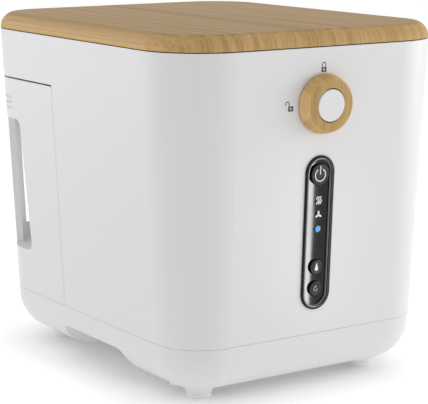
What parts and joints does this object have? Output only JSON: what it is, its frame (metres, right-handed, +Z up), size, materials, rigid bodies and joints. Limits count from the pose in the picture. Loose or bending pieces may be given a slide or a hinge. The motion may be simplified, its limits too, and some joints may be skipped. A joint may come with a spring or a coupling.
{
  "type": "electric food waste composter",
  "caption": "Box-shaped kitchen composter with a hinged wooden lid, turning lock knob, capsule control panel, stirred heated bin and a rear filter drawer.",
  "frame": {"origin": "on the floor under the middle of the body at the lid seat", "axes": "+X to the right seen from the front, +Y to the back, +Z up"},
  "size_m": [0.27, 0.3526, 0.2958],
  "materials": {
    "white_shell": "satin white ABS",
    "wood": "oiled bamboo",
    "white_cap": "satin white",
    "black_gloss": "gloss black",
    "black_satin": "satin black",
    "lamp": "translucent",
    "rubber": "matt pale grey",
    "silicone": "matt grey silicone",
    "grey_plastic": "moulded",
    "gear_plastic": "natural acetal",
    "cast_alloy": "cast",
    "steel": "brushed",
    "aluminium": "satin",
    "nonstick": "dark non-stick coat",
    "bronze": "sintered bronze",
    "felt": "felt",
    "board": "solder-resist green",
    "carbon": "pressed charcoal",
    "motor": "zinc and paint"
  },
  "bodies": {
    "housing": {"air_duct": "grey_plastic", "base_tray": "white_shell", "bay_floor": "grey_plastic", "bin_bush": "bronze", "bin_well": "aluminium", "board_screws": "steel", "casing_screws": "steel", "chassis_plate": "steel", "chassis_screws": "steel", "control_bezel": "black_gloss", "control_board": "board", "control_panel": "black_gloss", "drawer_runners": "grey_plastic", "fan_frame": "black_satin", "food_bin": "nonstick", "gearbox_cover": "grey_plastic", "gearbox_housing": "grey_plastic", "heater_plate": "aluminium", "heater_ring": "steel", "hinge_body_leaves": "steel", "hinge_pins": "steel", "idler_axle": "steel", "indicator_lamps": "lamp", "knob_bush": "black_satin", "main_shell": "white_shell", "motor_case": "motor", "outlet_duct": "grey_plastic", "output_bearings": "bronze", "power_board": "board", "power_inlet": "black_satin", "rubber_feet": "rubber", "thermostat": "steel", "top_deck": "grey_plastic", "well_insulation": "felt"},
    "lid": {"lid_board": "wood", "lid_liner": "grey_plastic", "lid_gasket": "silicone", "lid_screws": "steel", "lid_strike": "steel", "hinge_lid_leaves": "steel"},
    "knob": {"knob_ring": "wood", "knob_hub": "black_satin", "knob_cap": "white_cap", "knob_spindle": "steel", "latch_cam": "steel"},
    "power_key": {"power_button": "black_gloss"},
    "drop_key": {"drop_button": "black_gloss"},
    "timer_key": {"timer_button": "black_gloss"},
    "stirrer": {"agitator": "nonstick", "agitator_shaft": "steel", "drive_coupling": "cast_alloy", "output_shaft": "steel", "output_gear": "gear_plastic"},
    "idler": {"idler_gear": "gear_plastic"},
    "motor_rotor": {"motor_pinion": "steel"},
    "fan": {"fan_impeller": "black_satin"},
    "drawer": {"drawer_shell": "white_shell", "filter_cases": "grey_plastic", "carbon_beds": "carbon", "filter_grids": "grey_plastic"}
  },
  "joints": [
    {"name": "lid_hinge", "type": "hinge", "parent": "housing", "child": "lid", "pos_m": [0, 0.17145, 0.282], "axis": [-1, 0, 0], "range_deg": [0, 95]},
    {"name": "knob_turn", "type": "hinge", "parent": "housing", "child": "knob", "pos_m": [0, -0.16401, 0.2379], "axis": [0, 0.9988, 0.0497], "range_deg": [0, 90]},
    {"name": "power_press", "type": "slide", "parent": "housing", "child": "power_key", "axis": [0, 0.9988, 0.0497], "range_m": [0, 0.001], "stiffness_N_per_m": 900, "springref_m": -0.0012},
    {"name": "drop_press", "type": "slide", "parent": "housing", "child": "drop_key", "axis": [0, 0.9988, 0.0497], "range_m": [0, 0.001], "stiffness_N_per_m": 900, "springref_m": -0.0012},
    {"name": "timer_press", "type": "slide", "parent": "housing", "child": "timer_key", "axis": [0, 0.9988, 0.0497], "range_m": [0, 0.001], "stiffness_N_per_m": 900, "springref_m": -0.0012},
    {"name": "stirrer_spin", "type": "hinge", "parent": "housing", "child": "stirrer", "pos_m": [0, -0.058, 0.12], "axis": [0, 0, 1], "continuous": true},
    {"name": "idler_spin", "type": "hinge", "parent": "housing", "child": "idler", "pos_m": [0.04625, -0.058, 0.075], "axis": [0, 0, 1], "continuous": true},
    {"name": "motor_spin", "type": "hinge", "parent": "housing", "child": "motor_rotor", "pos_m": [0.07625, -0.058, 0.07], "axis": [0, 0, 1], "continuous": true},
    {"name": "fan_spin", "type": "hinge", "parent": "housing", "child": "fan", "pos_m": [0.098, 0.009, 0.215], "axis": [0, 0, 1], "continuous": true},
    {"name": "drawer_slide", "type": "slide", "parent": "housing", "child": "drawer", "axis": [0, 1, 0], "range_m": [0, 0.11]}
  ],
  "couplings": [
    {"joint": "idler_spin", "follows": "stirrer_spin", "ratio": -4.2857},
    {"joint": "motor_spin", "follows": "stirrer_spin", "ratio": 17.143}
  ]
}
